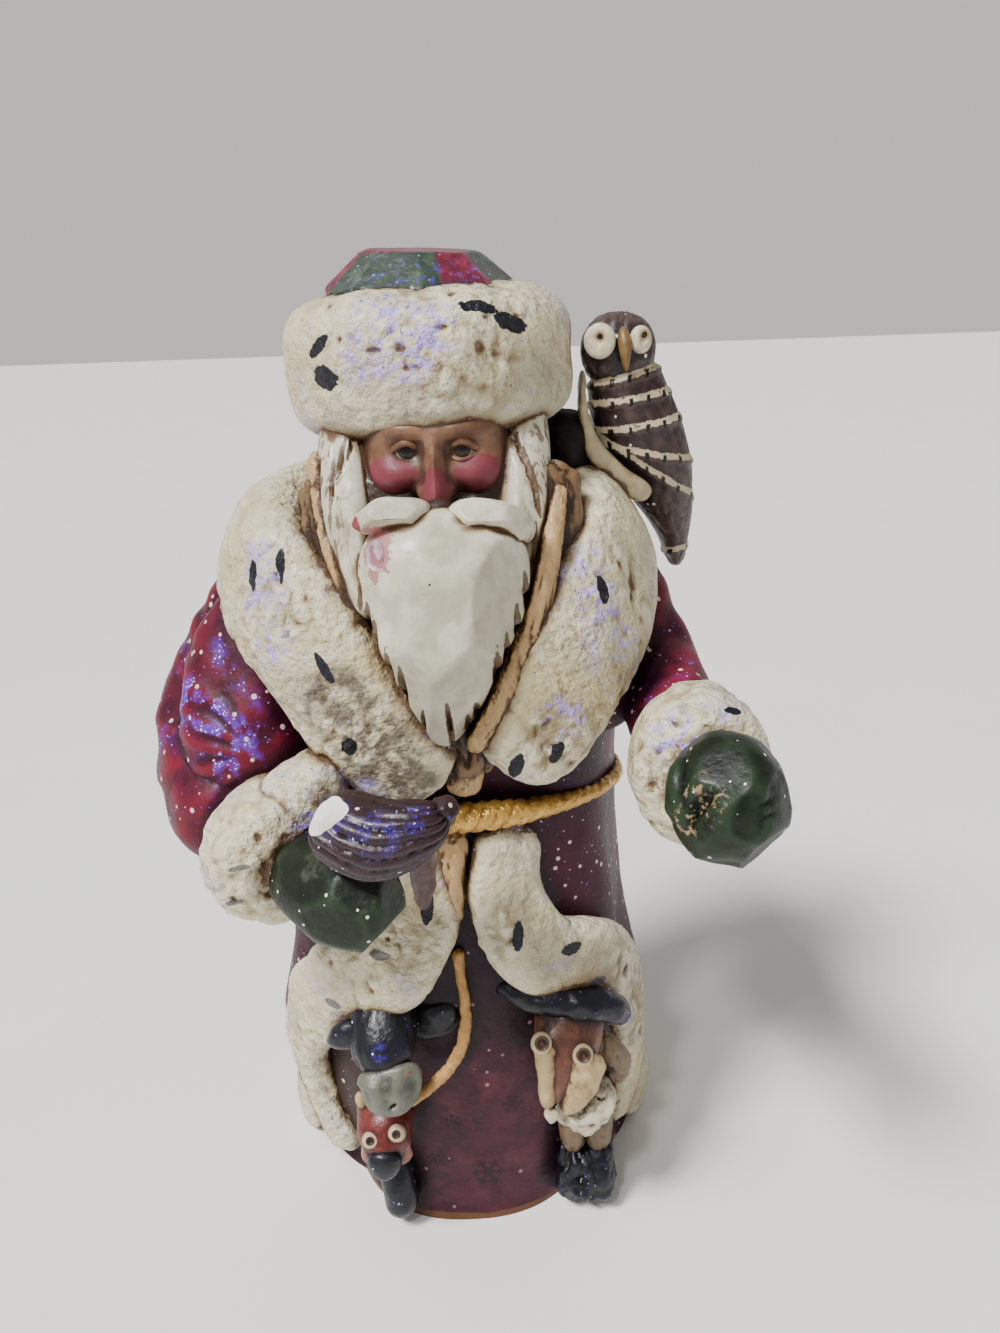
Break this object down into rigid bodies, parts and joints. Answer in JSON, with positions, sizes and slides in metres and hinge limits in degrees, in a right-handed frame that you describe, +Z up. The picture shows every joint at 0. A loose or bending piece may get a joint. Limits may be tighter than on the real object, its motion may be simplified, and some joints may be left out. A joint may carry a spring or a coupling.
{
  "type": "santa figurine",
  "caption": "Painted cast Santa figurine in the old-world folk style, standing in a fur-trimmed coat with an owl on the shoulder, a bird in the mitten and animals looking out at the hem",
  "frame": {"origin": "centre of the flat underside, on the surface that the figure stands on", "axes": "+Z up, the figure faces -Y, and +X is the viewer's right, the side with the owl"},
  "size_m": [0.1499, 0.1308, 0.254],
  "materials": {
    "painted_resin": "cast resin hand-painted in cream, burgundy, dark green, plum and navy, with brown antiquing, glitter and a clear varnish"
  },
  "bodies": {
    "root": {"santa_figurine": "painted_resin"}
  },
  "joints": []
}
